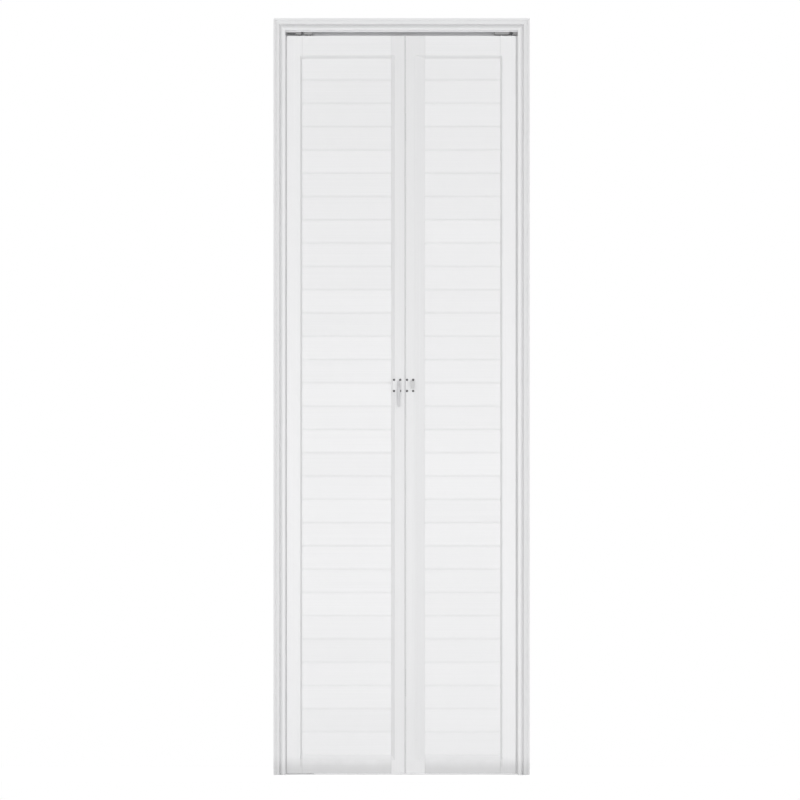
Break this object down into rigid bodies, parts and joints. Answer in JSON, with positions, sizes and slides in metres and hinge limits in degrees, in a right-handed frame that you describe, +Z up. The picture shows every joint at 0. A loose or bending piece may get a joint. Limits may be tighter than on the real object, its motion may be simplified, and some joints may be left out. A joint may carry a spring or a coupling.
{
  "type": "bi-fold door",
  "caption": "White plastic bi-fold door: slatted leaves folding in a mitred frame, with head track, pivots, fold hinges and a small turning-lever latch.",
  "frame": {"origin": "on the left jamb's wall-side face, at floor level and mid depth", "axes": "+X from the left jamb to the right jamb as seen from the front, +Y from front to back, +Z up"},
  "size_m": [0.711, 0.0635, 2.1],
  "materials": {
    "frame_white": "satin white plastic extrusion",
    "leaf_white": "satin white plastic extrusion",
    "stile_white": "satin off-white plastic extrusion",
    "slat_white": "satin white plastic extrusion",
    "track_grey": "mill-finish channel",
    "dark_nylon": "moulded grey nylon",
    "seal_grey": "soft pale grey strip",
    "hinge_steel": "satin steel",
    "latch_white": "white powder coat",
    "lever_zinc": "satin zinc"
  },
  "bodies": {
    "door": {"left_jamb": "frame_white", "right_jamb": "frame_white", "head": "frame_white", "head_track": "track_grey", "left_outer_stile": "leaf_white", "left_top_rail": "leaf_white", "left_bottom_rail": "leaf_white", "right_outer_stile": "leaf_white", "right_top_rail": "leaf_white", "right_bottom_rail": "leaf_white", "left_inner_stile": "stile_white", "right_inner_stile": "stile_white", "left_slats": "slat_white", "right_slats": "slat_white", "top_pivot_block": "dark_nylon", "guide_block": "dark_nylon", "track_stop": "dark_nylon", "left_jamb_seal": "seal_grey", "fold_seal": "seal_grey", "right_jamb_seal": "seal_grey", "top_pivot_pin": "hinge_steel", "bottom_pivot_pin": "hinge_steel", "guide_pin": "hinge_steel", "latch_plate": "latch_white", "keeper": "latch_white", "bottom_pivot_bracket": "latch_white", "latch_pivot": "lever_zinc", "lower_hinge_left_leaf": "hinge_steel", "lower_hinge_right_leaf": "hinge_steel", "lower_hinge_pin": "hinge_steel", "middle_hinge_left_leaf": "hinge_steel", "middle_hinge_right_leaf": "hinge_steel", "middle_hinge_pin": "hinge_steel", "upper_hinge_left_leaf": "hinge_steel", "upper_hinge_right_leaf": "hinge_steel", "upper_hinge_pin": "hinge_steel"},
    "lever": {"latch_lever": "lever_zinc"}
  },
  "joints": [
    {"name": "lever_turn", "type": "hinge", "parent": "door", "child": "lever", "pos_m": [0.3474, -0.024, 1.081], "axis": [0, -1, 0], "range_deg": [0, 90]}
  ]
}
